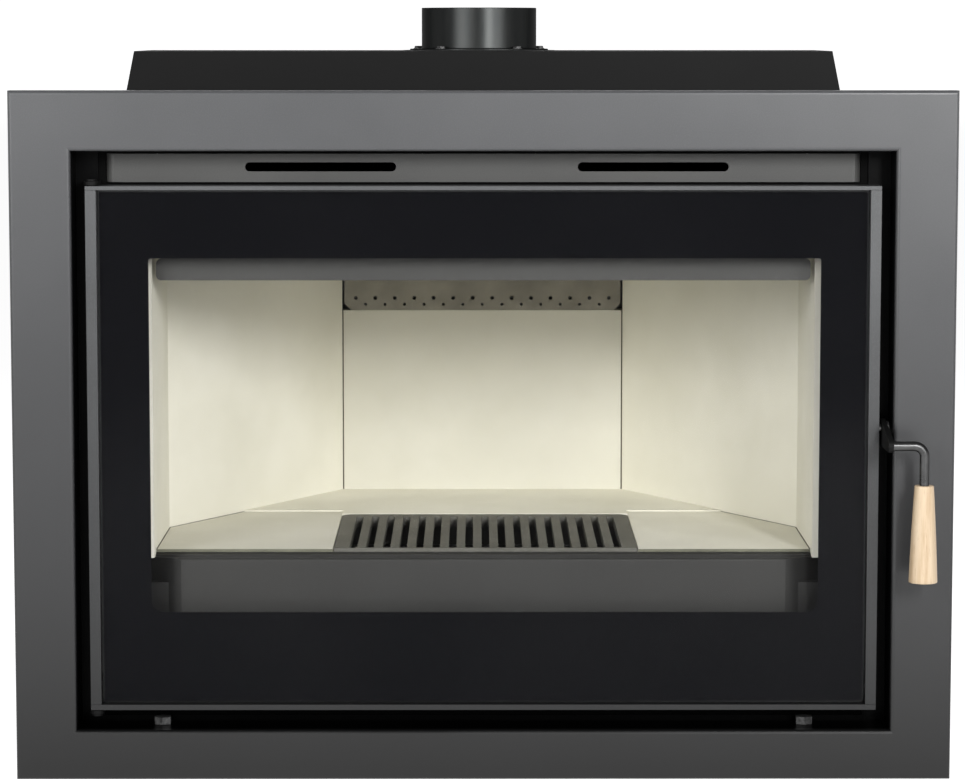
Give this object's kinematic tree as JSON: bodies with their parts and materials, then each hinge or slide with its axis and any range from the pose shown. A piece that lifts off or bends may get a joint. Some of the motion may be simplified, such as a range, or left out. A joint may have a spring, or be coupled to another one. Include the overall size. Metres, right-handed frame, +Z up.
{
  "type": "fireplace insert",
  "caption": "Wood-burning fireplace insert with a wide steel surround, side-hung glazed door, board-lined firebox, slotted grate, ash pan, folded hood and round flue collar.",
  "frame": {"origin": "on the hearth, under the middle of the insert's width and of its depth from the grip to the casing's back", "axes": "+X to the right seen from the front, +Y into the chimney, +Z up"},
  "size_m": [1, 0.66, 0.823],
  "materials": {
    "satin_steel": "satin anthracite powder coat",
    "dark_steel": "matt black stove paint",
    "door_steel": "satin anthracite stove paint",
    "inner_steel": "matt grey stove paint",
    "bare_steel": "plain zinc-plated steel",
    "cast_iron": "sand-cast, matt",
    "vermiculite": "pressed pale mineral board",
    "clear_glass": "clear ceramic glass",
    "black_enamel": "black enamel fired on the back of the glass",
    "ceramic_rope": "knitted ceramic fibre",
    "beech": "oiled beech"
  },
  "bodies": {
    "casing": {"surround_frame": "satin_steel", "front_frame_plate": "dark_steel", "air_outlet_plate": "inner_steel", "casing_left": "dark_steel", "casing_right": "dark_steel", "casing_back": "dark_steel", "casing_base": "dark_steel", "levelling_bolt_front_left": "bare_steel", "levelling_bolt_rear_left": "bare_steel", "levelling_bolt_front_right": "bare_steel", "levelling_bolt_rear_right": "bare_steel", "firebox_wall_left": "inner_steel", "firebox_wall_right": "inner_steel", "firebox_wall_back": "inner_steel", "firebox_floor_plate": "inner_steel", "firebox_top_plate": "inner_steel", "hood": "dark_steel", "collar_gasket": "ceramic_rope", "flue_collar": "dark_steel", "collar_bolt_1": "bare_steel", "collar_bolt_2": "bare_steel", "collar_bolt_3": "bare_steel", "collar_bolt_4": "bare_steel", "collar_bolt_5": "bare_steel", "front_return_board_left": "vermiculite", "side_board_left": "vermiculite", "front_return_board_right": "vermiculite", "side_board_right": "vermiculite", "back_board": "vermiculite", "floor_board_left": "vermiculite", "floor_board_right": "vermiculite", "floor_board_back": "vermiculite", "baffle_board": "vermiculite", "smoke_plate": "inner_steel", "secondary_air_plate": "bare_steel", "airwash_deflector": "inner_steel", "hearth_lip": "inner_steel", "ash_box": "inner_steel", "ash_pan": "bare_steel", "hinge_bracket_bottom": "dark_steel", "hinge_bracket_top": "dark_steel", "latch_keeper": "bare_steel"},
    "door": {"door_stile_left": "door_steel", "door_stile_right": "door_steel", "door_rail_bottom": "door_steel", "door_rail_top": "door_steel", "door_glass": "clear_glass", "glass_border": "black_enamel", "glass_tape": "ceramic_rope", "door_rope_seal": "ceramic_rope", "hinge_pin_top": "bare_steel", "hinge_pin_bottom": "bare_steel", "lever_bolt": "bare_steel"},
    "latch": {"latch_lever": "dark_steel", "handle_rod": "dark_steel", "handle_grip": "beech"},
    "grate": {"grate": "cast_iron"}
  },
  "joints": [
    {"name": "door_swing", "type": "hinge", "parent": "casing", "child": "door", "pos_m": [-0.41545, -0.24595, 0.35], "axis": [0, 0, -1], "range_deg": [0, 105]},
    {"name": "latch_lift", "type": "hinge", "parent": "door", "child": "latch", "pos_m": [0.4265, -0.24295, 0.3768], "axis": [-1, 0, 0], "range_deg": [-8, 35]},
    {"name": "grate_lift", "type": "slide", "parent": "casing", "child": "grate", "axis": [0, 0, 1], "range_m": [0, 0.08]}
  ]
}
